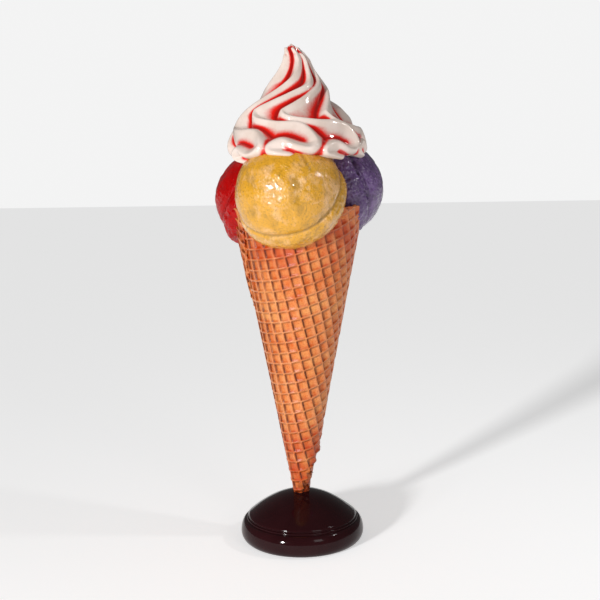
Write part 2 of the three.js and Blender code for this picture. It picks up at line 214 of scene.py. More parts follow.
def makeStand():
    s = stand
    quarter = np.linspace(0, math.pi / 2, 17)
    power = 2 * s["lipPower"]
    lower = [(s["footRadius"] + (s["lipRadius"] - s["footRadius"]) * math.sin(t),
              s["lipHeight"] * (1 - math.cos(t))) for t in quarter]
    upper = [(s["shoulderRadius"] + (s["lipRadius"] - s["shoulderRadius"]) * math.cos(t) ** power,
              s["lipHeight"] + (s["shoulderHeight"] - s["lipHeight"]) * math.sin(t) ** power)
             for t in quarter[1:]]
    # between lip and dome runs a small bead with a groove on each side
    bead = [(s["beadRadius"] + s["beadSize"] * math.cos(t), s["beadHeight"] + s["beadSize"] * math.sin(t))
            for t in np.linspace(-0.5, 1.9, 8)]
    groove = [(s["shoulderRadius"] - 2, s["shoulderHeight"] + 0.4),
              (s["beadRadius"] + 1.5, s["shoulderHeight"] - 0.8)]
    edge = [(s["domeRadius"] - 2.6, s["beadHeight"] + s["beadSize"]),
            (s["domeRadius"] - 2.2, s["domeHeight"] - 3),
            (s["domeRadius"] - 0.4, s["domeHeight"] - 1.6)]
    rise = s["top"] - s["domeHeight"]
    dome = [(s["domeRadius"] * share, s["domeHeight"] + rise * (1 - share * share))
            for share in np.linspace(1, 0, 30)]
    mesh = spinProfile([(0, 0)] + lower + upper + groove + bead + edge + dome, s["steps"])
    places = readVertices(mesh)
    height = places[:, 2]
    radius = np.hypot(places[:, 0], places[:, 1])
    wobble = s["unevenness"] * fractalNoise(places, 90) * smooth(height / 20) * smooth(radius / 60)
    places[:, :2] *= (1 + (wobble - s["unevenness"]) / np.maximum(radius, 30))[:, None]
    writeVertices(mesh, places)
    finishPiece(mesh, "stand_shell", "stand", makeStandEnamel())


cone = {
    "apexHeight": 24,      # where the tapering sides would meet, inside the stand
    "halfAngle": math.radians(11.094),
    "footHeight": 166,
    "rimHeight": 1236,
    "bowlHeight": 1205,    # floor inside the rim
}

waffle = {
    "cell": 38.22,         # rib spacing
    "uStart": 14.6,        # where the ribs cross the sheet's own axes
    "vStart": 8.8,
    "uLow": -1,            # columns and rows of cells that the cut sheet lies inside
    "uHigh": 33,
    "vLow": -28,
    "vHigh": 32,
    "sheetTurn": math.radians(13.53),  # from the sheet's u axis to the front of the cone
    # mesh lines across one cell and up one cell, in mm from the middle of a rib
    "across": [0, 3.4, 5.2, 9, 16, 23, 29, 34.4],
    "upwards": [0, 2.2, 5.4, 12, 20, 28, 33, 34.8],
    # how deep a pocket is at places across and up its cell, as a share of pocketDepth
    "acrossDepth": [(0, 0), (3.4, 0), (5.2, 1), (16, 0.85), (29, 0.5), (34.4, 0), (38.22, 0)],
    "upwardsDepth": [(0, 0), (2.2, 0), (5.4, 0.75), (20, 0.9), (33, 1), (34.8, 0), (38.22, 0)],
    # painted shade in brown on the steep left and top sides of each pocket, orange at its foot,
    # and a pale painted highlight along the ribs and up the lit right side of each pocket
    "acrossShade": [(0, 0), (2.4, 0), (3.4, 0.7), (5.2, 1), (9, 0.4), (16, 0), (38.22, 0)],
    "acrossHighlight": [(0, 0.3), (3.4, 0), (23, 0), (29, 0.35), (34.4, 0.6), (38.22, 0.3)],
    "upwardsShade": [(0, 0.3), (2.2, 0), (28, 0), (33, 0.4), (34.8, 0.6), (36, 0), (38.22, 0)],
    "upwardsOrange": [(0, 0), (2.2, 0.6), (5.4, 1), (12, 0.2), (20, 0), (38.22, 0)],
    "upwardsHighlight": [(0, 1), (2.2, 0.3), (5.4, 0), (34.8, 0), (36.5, 0.7), (38.22, 1)],
    "pocketDepth": 7.6,
    "depthSpread": 1.8,
    "wobble": 1.1,
    "thickness": 8,
    "overlapStep": 8,      # how far the outer end of the sheet stands off the layer under it
    "tuck": 0.012,         # share of a turn by which the inner end runs under the outer one
    "tear": 5,
    "footTear": 3.1,       # the lower edge is torn this much more
    "tornReach": 470,
    "flare": 7,            # how far its flakes curl off the cone
    "rimChord": 62,        # length of the straight breaks along the rim
    "rimRagged": 7,
    "margin": 20,          # the grid is made this much longer than the sheet, then cut
    "rusty": 0.8,          # how far the paint reddens towards both ends
    "rustyRim": (135, 150),   # from the rim: where that starts, and over how long it fades in
    "rustyFoot": (290, 230),  # and from the apex
    "darkFoot": (215, 40),    # the foot is darker brown, in noisy patches, nearer the apex than this
    "patchSize": 90,       # paler and darker patches of the crust
    "gritSize": 5,         # drawn coarser than real grit, to show
    "seed": 31,
    "crust": "#cb5c16",
    "crustLight": "#de9452",
    "baked": "#b43804",
    "grit": "#a8460e",
    # the pale of the painted highlight on the ribs
    "rib": "#e09664",
    "shade": "#501200",
}

# The outer edge of the rolled sheet: distance from the apex, degrees around the cone.
seamStations = [
    (140, 10), (211, 23), (256, 45), (290, 77), (355, 93),
    (466, 171), (600, 219), (925, 270), (1010, 291), (1250, 305),
]

sinHalf = math.sin(cone["halfAngle"])
cosHalf = math.cos(cone["halfAngle"])
sheetSpan = fullTurn * sinHalf   # angle of the flat sheet that makes one full turn
footReach = (cone["footHeight"] - cone["apexHeight"]) / cosHalf
rimReach = (cone["rimHeight"] - cone["apexHeight"]) / cosHalf


def seamSheetAngle(reach):
    reaches, angles = zip(*seamStations)
    return np.radians(np.interp(reach, reaches, angles)) * sinHalf


def flatShare(places):
    # how far round the roll each point of the flat sheet lies: 0 at its inner end, 1 at its outer
    reach = np.hypot(places[:, 0], places[:, 1])
    angle = np.arctan2(places[:, 1], places[:, 0]) - waffle["sheetTurn"]
    return reach, angle, (angle - seamSheetAngle(reach)) / sheetSpan + 1


def flatPoint(reach, share, shift=0.0):
    angle = seamSheetAngle(reach) + (share - 1) * sheetSpan + waffle["sheetTurn"] + shift / reach
    return Vector((reach * math.cos(angle), reach * math.sin(angle), 0))


def cutAlong(mesh, start, end, keep, near):
    # cuts the faces near a straight line, and clears those on the far side from keep; the parts
    # go in by their order in the mesh, so that every run cuts alike
    normal = Vector((end.y - start.y, start.x - end.x, 0)).normalized()
    if (keep - start).dot(normal) > 0:
        normal = -normal
    faces = [face for face in mesh.faces if near(face.calc_center_median())]
    parts = (part for face in faces for part in (*face.verts, *face.edges, face))
    geometry = list(dict.fromkeys(parts))
    bmesh.ops.bisect_plane(mesh, geom=geometry, plane_co=start, plane_no=normal,
                           dist=1e-4, clear_outer=True)


def makeWaffleMaterial():
    # Moulded resin painted as baked wafer: orange tan, redder towards the rim and the foot and
    # at the lower side of each pocket, brown painted shade in the steep left and top sides, a pale
    # painted highlight along the ribs, with a gritty satin surface.
    w = waffle
    material, tree, shader, place = newMaterial("satin_paint_wafer")
    patches = addNode(tree, "ShaderNodeTexNoise", {
        "Scale": patternScale(w["patchSize"]), "Detail": 8, "Roughness": 0.75,
    }, {"Vector": place})
    patchAmount = addNode(tree, "ShaderNodeMapRange", {"From Min": 0.36, "From Max": 0.64},
                          {"Value": patches.outputs["Fac"]})
    crust = addNode(tree, "ShaderNodeMix", {
        "data_type": "RGBA", 6: linearColour(w["crust"]), 7: linearColour(w["crustLight"]),
    }, {0: patchAmount.outputs["Result"]})
    ends = addNode(tree, "ShaderNodeAttribute", {"attribute_name": "baked"})
    baked = addNode(tree, "ShaderNodeMix", {"data_type": "RGBA", 7: linearColour(w["baked"])},
                    {0: ends.outputs["Fac"], 6: crust.outputs[2]})
    # the pale painted highlight along the ribs
    ribs = addNode(tree, "ShaderNodeAttribute", {"attribute_name": "rib"})
    pale = addNode(tree, "ShaderNodeMix", {"data_type": "RGBA", 7: linearColour(w["rib"])},
                   {0: ribs.outputs["Fac"], 6: baked.outputs[2]})
    # brown painted shade in the steep sides, and the darker foot
    corners = addNode(tree, "ShaderNodeAttribute", {"attribute_name": "corner"})
    brown = addNode(tree, "ShaderNodeMix", {"data_type": "RGBA", 7: linearColour(w["shade"])},
                    {0: corners.outputs["Fac"], 6: pale.outputs[2]})
    grain = addNode(tree, "ShaderNodeTexNoise", {
        "Scale": patternScale(w["gritSize"]), "Detail": 3, "Roughness": 0.65,
    }, {"Vector": place})
    gritAmount = addNode(tree, "ShaderNodeMapRange", {"From Min": 0.48, "From Max": 0.66, "To Max": 0.42},
                         {"Value": grain.outputs["Fac"]})
    gritty = addNode(tree, "ShaderNodeMix", {"data_type": "RGBA", 7: linearColour(w["grit"])},
                     {0: gritAmount.outputs["Result"], 6: brown.outputs[2]})
    tree.links.new(gritty.outputs[2], shader.inputs["Base Color"])
    gloss = addNode(tree, "ShaderNodeMapRange", {
        "From Min": 0.3, "From Max": 0.7, "To Min": 0.2, "To Max": 0.4,
    }, {"Value": patches.outputs["Fac"]})
    tree.links.new(gloss.outputs["Result"], shader.inputs["Roughness"])
    bump = addNode(tree, "ShaderNodeBump", {"Strength": 0.6, "Distance": 0.0015},
                   {"Height": grain.outputs["Fac"]})
    tree.links.new(bump.outputs["Normal"], shader.inputs["Normal"])
    shader.inputs["IOR"].default_value = 1.48
    shader.inputs["Specular IOR Level"].default_value = 0.35
    return material


def makeWaffleCone():
    w = waffle
    random = seededRandom(w["seed"])
    columns, rows, lines = w["uHigh"] - w["uLow"], w["vHigh"] - w["vLow"], len(w["across"])
    mesh = bmesh.new()
    bmesh.ops.create_grid(mesh, x_segments=columns * lines, y_segments=rows * lines, size=0.5)

    # the even grid is spread so that its lines follow the sides of the ribs
    places = readVertices(mesh)

    def spread(share, count, low, start, offsets):
        index = np.rint((share + 0.5) * count * lines).astype(int)
        return start + (low + index // lines) * w["cell"] + np.array(offsets)[index % lines]
    places[:, 0] = spread(places[:, 0], columns, w["uLow"], w["uStart"], w["upwards"])
    places[:, 1] = spread(places[:, 1], rows, w["vLow"], w["vStart"], w["across"])
    writeVertices(mesh, places)
    reach, _, share = flatShare(places)
    lowest, highest = footReach - w["margin"], rimReach + w["margin"]
    inside = (reach > lowest) & (reach < highest) & (share > -0.2) & (share < 1.1)
    spare = [vertex for vertex, keep in zip(list(mesh.verts), inside) if not keep]
    bmesh.ops.delete(mesh, geom=spare, context="VERTS")

    # the outline: a torn outer edge, an inner edge that runs under it, and a rim broken in chords
    reaches = [lowest]
    while reaches[-1] < highest:
        reaches.append(reaches[-1] + (26 + 18 * random()) * (0.55 if reaches[-1] < w["tornReach"] else 1))
    for low, high in zip(reaches, reaches[1:]):
        tear = w["tear"] * (1 + w["footTear"] * smooth((w["tornReach"] - low) / 150))
        shiftLow, shiftHigh = tear * (random() - 0.5), tear * (random() - 0.5)
        for edgeShare, rough in ((1.0, 1.0), (-w["tuck"] - 0.03, 0.0)):
            start = flatPoint(low, edgeShare, rough * shiftLow)
            end = flatPoint(high, edgeShare, rough * shiftHigh)
            cutAlong(mesh, start, end, flatPoint((low + high) / 2, 0.5),
                     lambda c: low <= math.hypot(c.x, c.y) < high
                     and abs(flatShare(np.array([c[:]]))[2][0] - edgeShare) < 0.3)
    count = round(rimReach * sheetSpan * 1.1 / w["rimChord"])
    drops = [w["rimRagged"] * random() ** 2 for _ in range(count + 1)]
    for k in range(count):
        spanLow, spanHigh = -0.06 + 1.1 * k / count, -0.06 + 1.1 * (k + 1) / count
        start, end = (flatPoint(rimReach - drop, spot) for drop, spot in
                      ((drops[k], spanLow), (drops[k + 1], spanHigh)))
        cutAlong(mesh, start, end, Vector((0, 0, 0)),
                 lambda c: math.hypot(c.x, c.y) > rimReach - 60
                 and spanLow <= flatShare(np.array([c[:]]))[2][0] < spanHigh)
    loose = [vertex for vertex in mesh.verts if not vertex.link_faces]
    bmesh.ops.delete(mesh, geom=loose, context="VERTS")
    print("waffle sheet cut:", len(mesh.faces), "faces")

    # pockets and ribs, a little uneven as pressed by hand
    places = readVertices(mesh)
    reach, angle, share = flatShare(places)
    u = (places[:, 0] - w["uStart"]) / w["cell"]
    v = (places[:, 1] - w["vStart"]) / w["cell"]
    up = (u - np.floor(u + 1e-6)) * w["cell"]
    over = (v - np.floor(v + 1e-6)) * w["cell"]

    def through(stations, position):
        return np.interp(position, *zip(*stations))
    # an even draw for each pocket, from its column and row
    cellDraw = np.sin(np.floor(u + 1e-6) * 12.99 + np.floor(v + 1e-6) * 78.23) * 43758.5
    cellDraw -= np.floor(cellDraw)
    sunk = through(w["acrossDepth"], over) * through(w["upwardsDepth"], up)
    depth = (w["pocketDepth"] - w["depthSpread"] * cellDraw) * sunk
    depth += w["wobble"] * (0.4 + fractalNoise(places, 26, 2)) * 0.6
    torn = smooth((w["tornReach"] - reach) / 120)
    edgeWidth = 0.02 + 0.06 * torn
    flare = smooth((share - 1 + edgeWidth) / edgeWidth) * fractalNoise(places, 30, 3)
    flare *= 2 + w["flare"] * torn
    narrow = np.clip(reach / 330, 0.3, 1)   # the relief flattens towards the tip
    radius = reach * sinHalf + w["overlapStep"] * (share - 0.5) - depth * narrow + flare
    around = angle / sinHalf + w["wobble"] * fractalNoise(places + 500, 60, 2) / np.maximum(radius, 40)
    height = w["wobble"] * fractalNoise(places + 900, 60, 2)
    rolled = np.stack([radius * np.sin(around), -radius * np.cos(around),
                       cone["apexHeight"] + reach * cosHalf + height], axis=1)
    writeVertices(mesh, rolled)

    # paint: pale painted highlight on the ribs, redder ends and lower sides, brown painted shade and a
    # darker foot
    inPocket = through(w["upwardsDepth"], up) > 0
    blotch = np.clip(0.85 + fractalNoise(rolled, 30, 3), 0.5, 1)
    # painted highlight: pale along the ribs and up the lit right side of each pocket, broken into patches
    paintedHighlight = np.maximum(through(w["upwardsHighlight"], up), through(w["acrossHighlight"], over))
    (rimGap, rimFade), (footGap, footFade) = w["rustyRim"], w["rustyFoot"]
    fromEnds = np.minimum((rimReach - rimGap - reach) / rimFade, (reach - footGap) / footFade)
    rusty = w["rusty"] * (1 - smooth(fromEnds)) * np.clip(0.8 + fractalNoise(rolled, 70, 2), 0, 1)
    highlightPatches = 0.3 + 0.7 * smooth(0.5 + fractalNoise(rolled + 300, 60, 2))
    writeLayer(mesh, "rib", paintedHighlight * (1 - 0.6 * rusty) * highlightPatches)
    lowerSide = 0.6 * through(w["upwardsOrange"], up) * smooth((over - 3) / 4)
    writeLayer(mesh, "baked", np.clip(rusty + lowerSide * blotch, 0, 1))
    # painted shade: brown on the steep left and top sides of each pocket, where their shadow falls
    paintedShade = np.maximum(through(w["acrossShade"], over) * inPocket,
                       through(w["upwardsShade"], up) * smooth((over - 3) / 2))
    darkFootReach, darkFootFade = w["darkFoot"]
    darkFoot = 0.7 * smooth((darkFootReach - reach) / darkFootFade)
    darkFoot *= smooth(0.5 + 1.5 * fractalNoise(rolled, 16, 2))
    writeLayer(mesh, "corner", np.clip(paintedShade * blotch + darkFoot, 0, 1))
    bmesh.ops.recalc_face_normals(mesh, faces=mesh.faces)
    outward = sum(face.normal.dot(Vector((face.verts[0].co.x, face.verts[0].co.y, 0)))
                  for face in mesh.faces)
    if outward < 0:
        bmesh.ops.reverse_faces(mesh, faces=mesh.faces)
    bmesh.ops.solidify(mesh, geom=mesh.faces, thickness=w["thickness"])

    # the floor inside the rim, under the scoops
    top = cone["bowlHeight"]
    floorRadius = (top - cone["apexHeight"]) * sinHalf / cosHalf - 6
    bottom = spinProfile([(0, top - 12), (floorRadius - 2, top - 12), (floorRadius, top - 6),
                          (floorRadius - 2, top), (floorRadius * 0.5, top - 3), (0, top - 4)], 64)
    bowlFloor = bpy.data.meshes.new("bowl_floor")
    bottom.to_mesh(bowlFloor)
    bottom.free()
    mesh.from_mesh(bowlFloor)
    bpy.data.meshes.remove(bowlFloor)
    finishPiece(mesh, "waffle_cone_shell", "waffle_cone", makeWaffleMaterial())


# sizes in mm; skirt and skirtRough as shares of the radius
# groove and the pit amount: how dark the painted shade is in the skirt's groove and in the pits
scoops = {
    "yellow": {
        "centre": (-28, -155, 1281), "radius": 186.5, "pole": (-0.281, -0.691, 0.666),
        "skirt": 0.05, "seed": 5,
        "node": "scoop_yellow", "slot": "ice_yellow", "steps": 300, "rings": 150,
        "body": "#d69a22", "pale": "#e8b67c", "dark": "#946f22", "roughness": (0.1, 0.24),
        "specular": 0.45, "coat": 0.7,
        "lump": 2.2, "ripple": 2.5, "pit": 1.1, "skirtRough": 0.015, "groove": 0.6, "pitShade": 0.6,
        # short ridges and furrows left by the scoop: where they start and end, half width, height
        "marks": [
            ((-0.22, -0.9, 0.38), (0.02, -1, 0.14), 12, 4),
            ((0.12, -0.94, 0.31), (0.14, -0.99, -0.04), 15, -6),
            ((0.25, -0.67, 0.7), (0.39, -0.79, 0.47), 6, -3.5),
            ((0.15, -0.87, -0.46), (0.27, -0.76, -0.59), 12, 2.5),
            ((-0.6, -0.7, -0.3), (-0.34, -0.83, -0.44), 16, -2),
        ],
    },
    "purple": {
        "centre": (139, 60, 1294), "radius": 171.5, "pole": (0.74, 0.6, 0.31),
        "skirt": 0.09, "seed": 11,
        "node": "scoop_purple", "slot": "ice_purple", "steps": 280, "rings": 140,
        "body": "#5c4072", "pale": "#7b6090", "dark": "#3a2446", "roughness": (0.1, 0.24),
        "specular": 0.35, "coat": 0.5,
        "lump": 2.2, "ripple": 2.8, "pit": 2.6, "skirtRough": 0.03, "groove": 0.4, "pitShade": 0.7,
        "marks": [
            ((0.32, -0.75, 0.58), (0.42, -0.85, 0.32), 7, -11),
            ((0.42, -0.85, 0.32), (0.62, -0.76, -0.17), 6, -8),
            ((0.46, -0.72, 0.52), (0.6, -0.78, 0.1), 10, 3),
        ],
    },
    "red": {
        "centre": (-134, 70, 1261), "radius": 166.5, "pole": (-0.55, 0.52, 0.65),
        "skirt": 0.12, "seed": 23,
        "node": "scoop_red", "slot": "ice_red", "steps": 260, "rings": 130,
        "body": "#a80100", "pale": "#980406", "dark": "#7c0304", "roughness": (0.08, 0.2),
        "specular": 0.06, "coat": 0.3,
        "lump": 2.2, "ripple": 3.0, "pit": 2.4, "skirtRough": 0.03, "groove": 0.5, "pitShade": 0.5,
        "marks": [
            ((-0.84, -0.3, -0.5), (-0.62, -0.49, -0.61), 8, -5),
        ],
    },
}


scoopPaint = {
    "paleSize": 77,        # sponged patches
    "darkSize": 48,
    "pitSize": 7.7,        # pits and pebbles are drawn as coarse as they need to show
    "pebbleSize": 5.26,
}


def scoopProfile(skirt):
    # a ball with a skirt of squeezed-out ice cream behind it: degrees from its pole and share
    # of its radius
    return [(0, 1), (30, 1), (60, 1), (84, 0.998), (90, 0.97), (95, 1 + 0.4 * skirt),
            (107, 1 + skirt), (119, 1 + 0.6 * skirt), (131, 0.97), (152, 0.9), (180, 0.88)]


def makeScoopMaterial(scoop, name):
    # Resin cast over real scooped ice cream and painted: a body colour sponged with paler and
    # darker patches, painted shade in the groove, the furrows and the fine air-bubble pits, and satin
    # varnish that glints on their edges.
    material, tree, shader, place = newMaterial(name)
    cloud = addNode(tree, "ShaderNodeTexNoise", {
        "Scale": patternScale(scoopPaint["paleSize"]), "Detail": 5, "Roughness": 0.62, "Distortion": 0.6,
    }, {"Vector": place})
    paleAmount = addNode(tree, "ShaderNodeMapRange", {"From Min": 0.5, "From Max": 0.68},
                         {"Value": cloud.outputs["Fac"]})
    cloudier = addNode(tree, "ShaderNodeTexNoise", {
        "Scale": patternScale(scoopPaint["darkSize"]), "Detail": 4, "Roughness": 0.6, "Distortion": 0.9,
    }, {"Vector": place})
    darkAmount = addNode(tree, "ShaderNodeMapRange", {"From Min": 0.54, "From Max": 0.76, "To Max": 0.8},
                         {"Value": cloudier.outputs["Fac"]})
    pale = addNode(tree, "ShaderNodeMix", {
        "data_type": "RGBA", 6: linearColour(scoop["body"]), 7: linearColour(scoop["pale"]),
    }, {0: paleAmount.outputs["Result"]})
    dark = addNode(tree, "ShaderNodeMix", {"data_type": "RGBA", 7: linearColour(scoop["dark"])},
                   {0: darkAmount.outputs["Result"], 6: pale.outputs[2]})
    # painted shade in the groove round the skirt and in the furrows
    hollowShade = addNode(tree, "ShaderNodeAttribute", {"attribute_name": "hollowShade"})
    shaded = addNode(tree, "ShaderNodeMix", {"data_type": "RGBA", 7: linearColour(scoop["dark"])},
                     {0: hollowShade.outputs["Fac"], 6: dark.outputs[2]})
    # painted shade: dark dots for the shade in the fine pits
    pits = addNode(tree, "ShaderNodeTexNoise", {
        "Scale": patternScale(scoopPaint["pitSize"]), "Detail": 3, "Roughness": 0.65,
    }, {"Vector": place})
    pitAmount = addNode(tree, "ShaderNodeMapRange", {
        "From Min": 0.53, "From Max": 0.68, "To Max": scoop["pitShade"],
    }, {"Value": pits.outputs["Fac"]})
    pitted = addNode(tree, "ShaderNodeMix", {"data_type": "RGBA", 7: linearColour(scoop["dark"])},
                     {0: pitAmount.outputs["Result"], 6: shaded.outputs[2]})
    tree.links.new(pitted.outputs[2], shader.inputs["Base Color"])
    low, high = scoop["roughness"]
    gloss = addNode(tree, "ShaderNodeMapRange", {
        "From Min": 0.3, "From Max": 0.7, "To Min": low, "To Max": high,
    }, {"Value": cloudier.outputs["Fac"]})
    tree.links.new(gloss.outputs["Result"], shader.inputs["Roughness"])
    pebbles = addNode(tree, "ShaderNodeTexNoise", {
        "Scale": patternScale(scoopPaint["pebbleSize"]), "Detail": 2, "Roughness": 0.5,
    }, {"Vector": place})
    bump = addNode(tree, "ShaderNodeBump", {"Strength": 0.8, "Distance": 0.003},
                   {"Height": pebbles.outputs["Fac"]})
    tree.links.new(bump.outputs["Normal"], shader.inputs["Normal"])
    shader.inputs["IOR"].default_value = 1.48
    shader.inputs["Specular IOR Level"].default_value = scoop["specular"]
    shader.inputs["Coat Weight"].default_value = scoop["coat"]
    shader.inputs["Coat Roughness"].default_value = 0.03
    return material


def makeLumps(seed):
    # the same few slow waves as the solid has
    draw = seededRandom(seed)
    waves = []
    for _ in range(6):
        direction = Vector((draw() - 0.5, draw() - 0.5, draw() - 0.5)).normalized()
        waves.append((np.array(direction), 3 + 4 * draw(), fullTurn * draw()))
    return lambda units: sum(np.sin(rate * (units @ direction) + phase)
                             for direction, rate, phase in waves) / 2


def awayFromLine(places, start, end):
    # distance of each place from the straight stretch between two others
    start, end = np.array(start), np.array(end)
    share = np.clip((places - start) @ (end - start) / ((end - start) @ (end - start)), 0, 1)
    return np.linalg.norm(places - start - share[:, None] * (end - start), axis=1)


def makeScoop(colour):
    scoop = scoops[colour]
    outline = [(share * scoop["radius"] * math.sin(math.radians(degrees)),
                share * scoop["radius"] * math.cos(math.radians(degrees)))
               for degrees, share in splinePoints(scoopProfile(scoop["skirt"]), 16)]
    line = evenlySpaced(np.array(outline), scoop["rings"])
    line[0][0] = line[-1][0] = 0
    mesh = spinProfile(line[::-1], scoop["steps"])
    places = readVertices(mesh)
    units = places / np.linalg.norm(places, axis=1)[:, None]
    fromPole = np.degrees(np.arccos(np.clip(units[:, 2], -1, 1)))
    skirt = smooth((fromPole - 88) / 8)
    scale = scoop["radius"] * units + scoop["seed"] * 40
    # curved tool marks where the scoop was dragged, and small pits of burst air bubbles
    swept = np.stack([scale[:, 0] + 25 * np.sin(scale[:, 2] / 55), scale[:, 1] * 0.45, scale[:, 2]], axis=1)
    ripple = fractalNoise(swept, 52, 4)
    grain = fractalNoise(scale, 9, 2)
    push = scoop["lump"] * makeLumps(scoop["seed"])(units)
    push += scoop["ripple"] * (ripple - 0.6 * np.abs(ripple))
    push += scoop["pit"] * np.minimum(grain, 0.25) * (1 + skirt)
    push += skirt * scoop["skirtRough"] * scoop["radius"] * fractalNoise(scale, 38, 3)
    tilt = np.array(Vector((0, 0, 1)).rotation_difference(Vector(scoop["pole"]).normalized()).to_matrix())
    furrowShade = np.zeros(len(units))
    for start, end, width, height in scoop["marks"]:
        mark = smooth(1 - awayFromLine(units @ tilt.T, start, end) * scoop["radius"] / (2 * width))
        push += height * mark
        furrowShade += 0.06 * abs(height) * mark * (height < 0)
    places = places + units * (push - 1)[:, None]
    places = places @ tilt.T + np.array(scoop["centre"])
    writeVertices(mesh, places)
    # painted shade in the groove round the skirt, in the furrows and in the low parts of the tool marks
    groove = scoop["groove"] * smooth((2.5 - np.abs(fromPole - 90)) / 2)
    writeLayer(mesh, "hollowShade", np.clip(groove + furrowShade + smooth(-ripple * 1.6 - 0.3) * 0.35, 0, 1))
    material = makeScoopMaterial(scoop, "sponged_varnish_" + colour)
    finishPiece(mesh, "scoop_" + colour + "_shell", scoop["node"], material)


swirl = {
    # radius and height of the envelope that the crests of the folds touch
    "envelope": [
        (0, 1800), (19, 1796), (31, 1781), (45, 1755), (64, 1714), (92, 1673), (126, 1627), (166, 1583),
        (206, 1537), (233, 1495), (247, 1458), (247, 1425), (240, 1402), (222, 1386), (180, 1376),
        (110, 1374), (0, 1374),
    ],
    "tipHeight": 1786,
    "leanHeight": 1578,
    "leanReach": 75,
    "lean": -13,
    "tipBend": -16,
    "tipStart": 1735,
    "drape": 52,           # how far the hem bulges forward over the yellow scoop
    "drapeTurn": -8,
    "drapeWidth": 80,
    "drapeHeight": 1415,
    "drapeReach": 110,
    "creaseSlope": 1.1,   # fall of a fold's face for each mm away from its crest
    "crestRound": 4,
    "skew": 0.46,          # how much closer a crease lies to the crest below it than to the one above
    "skewTurn": math.radians(22),  # and to the crest on its right
    "maxDepth": 46,
    "depthShare": 0.5,     # no crease is deeper than this share of the radius
    "hemHeight": 1400,
    "apart": 135,          # two stretches of one crest this far apart hold a crease between them
    "steps": 380,
    "rings": 230,
    "cream": "#e3d2c8",
    "creamShade": "#c4ad9a",
    "redPaint": "#d6160a",
    "redInShade": "#8a0603",
    "backStart": 200,      # the back is drawn in a little beyond this, to keep within the solid
    "backDrawn": 0.92,
    "strands": 6,          # of the wrung tip
    "wrungFrom": 1752,
    "wrungOver": 22,       # height over which the strands come in
    "strandDepth": 1.8,
    "brush": 16,           # mm over which the red fades up the face above a crease
    "brushBelow": 12,      # more where the next crest lies below
    "brushHigh": 26,       # and more again above brushHeight
    "brushHeight": 1535,
    "blush": 0.32,         # a faint wide tint of red around it
    "blushReach": 46,
    "streaks": 0.9,        # red between the strands of the tip
    "cloudSize": 62,
    "spraySize": 8.3,      # speckle of the airbrush, drawn coarse to show
    "rippleSize": 16.7,
}

# Each fold of cream runs down from the tip, turns back at its heel, turns again at its nose
# and ends in a small curl. Angles in degrees around the axis, heights in mm.
frontFolds = [
    {"heel": -88, "heelHeight": 1523, "reach": 100, "shoulder": 1685,
     "width": 61, "drop": 24, "nose": 1456, "curl": -24},
    {"heel": -48, "heelHeight": 1565, "reach": 95, "shoulder": 1666,
     "width": 62, "drop": 44, "nose": 1470, "curl": -9},
    {"heel": -12, "heelHeight": 1562, "reach": 95, "shoulder": 1678,
     "width": 71, "drop": 36, "nose": 1467, "curl": -18},
    {"heel": 38, "heelHeight": 1557, "reach": 60, "shoulder": 1660,
     "width": 55, "drop": 52, "nose": 1462, "curl": -4},
]
foldTemplate = {"heelHeight": 1562, "reach": 84, "shoulder": 1652,
                "width": 60, "drop": 50, "nose": 1462, "curl": -6}
foldJitter = {"angle": 5, "height": 11, "seed": 7, "backFolds": 3}

envelopeLine = splinePoints(swirl["envelope"], 20)
falling = np.concatenate([[True], envelopeLine[1:, 1] < np.minimum.accumulate(envelopeLine[:, 1])[:-1]])


def envelopeRadius(height):
    return np.interp(height, envelopeLine[falling, 1][::-1], np.maximum(envelopeLine[falling, 0], 0)[::-1])


def foldStations(fold):
    h, high, r, s = fold["heel"], fold["heelHeight"], fold["reach"], fold["shoulder"]
    w, d, n, c = fold["width"], fold["drop"], fold["nose"], fold["curl"]
    tip = swirl["tipHeight"]
    return [
        (h + r, tip), (h + 0.97 * r, (s + tip) / 2), (h + 0.8 * r, s),
        (h + 0.42 * r, s - 0.4 * (s - high)), (h + 0.06 * r, high + 15), (h, high),
        (h + 0.1 * w, high - 0.5 * d), (h + 0.45 * w, high - 0.88 * d), (h + 0.84 * w, high - 1.06 * d),
        (h + w, n), (h + 0.93 * w, n - 32), (h + 0.78 * w, n - 16 + c), (h + 0.6 * w, n + 6 + c),
        (h + 0.47 * w, n - 10 + c), (h + 0.48 * w, n - 34 + c), (h + 0.68 * w, n - 48 + c),
    ]


def allFolds():
    draw = seededRandom(foldJitter["seed"])

    def shift(amount):
        return amount * (2 * draw() - 1)
    last = frontFolds[-1]["heel"]
    spacing = (frontFolds[0]["heel"] + 360 - last) / (foldJitter["backFolds"] + 1)
    folds = list(frontFolds)
    for i in range(foldJitter["backFolds"]):
        fold = dict(foldTemplate)
        fold["heel"] = last + spacing * (i + 1) + shift(foldJitter["angle"])
        fold["heelHeight"] += shift(foldJitter["height"])
        fold["shoulder"] += shift(foldJitter["height"])
        fold["nose"] += shift(foldJitter["height"] / 2)
        folds.append(fold)
    return folds


def crestLines(steps):
    # points along the crests of all folds, with the distance run along each; the straight part
    # near the tip counts for less, so that a crest makes no crease with itself there
    points, runs = [], []
    for number, fold in enumerate(allFolds()):
        angles, heights = splinePoints(foldStations(fold), steps).T
        radius = envelopeRadius(heights)
        turns = np.radians(angles)
        line = np.stack([radius * np.sin(turns), -radius * np.cos(turns), heights], axis=1)
        paces = np.linalg.norm(np.diff(line, axis=0), axis=1)
        paces[:5 * steps] *= 0.15
        paces[5 * steps:7 * steps] *= 0.9
        runs.append(10000 * (number + 1) + np.concatenate([[0], np.cumsum(paces)]))
        points.append(line)
    return np.vstack(points), np.concatenate(runs)


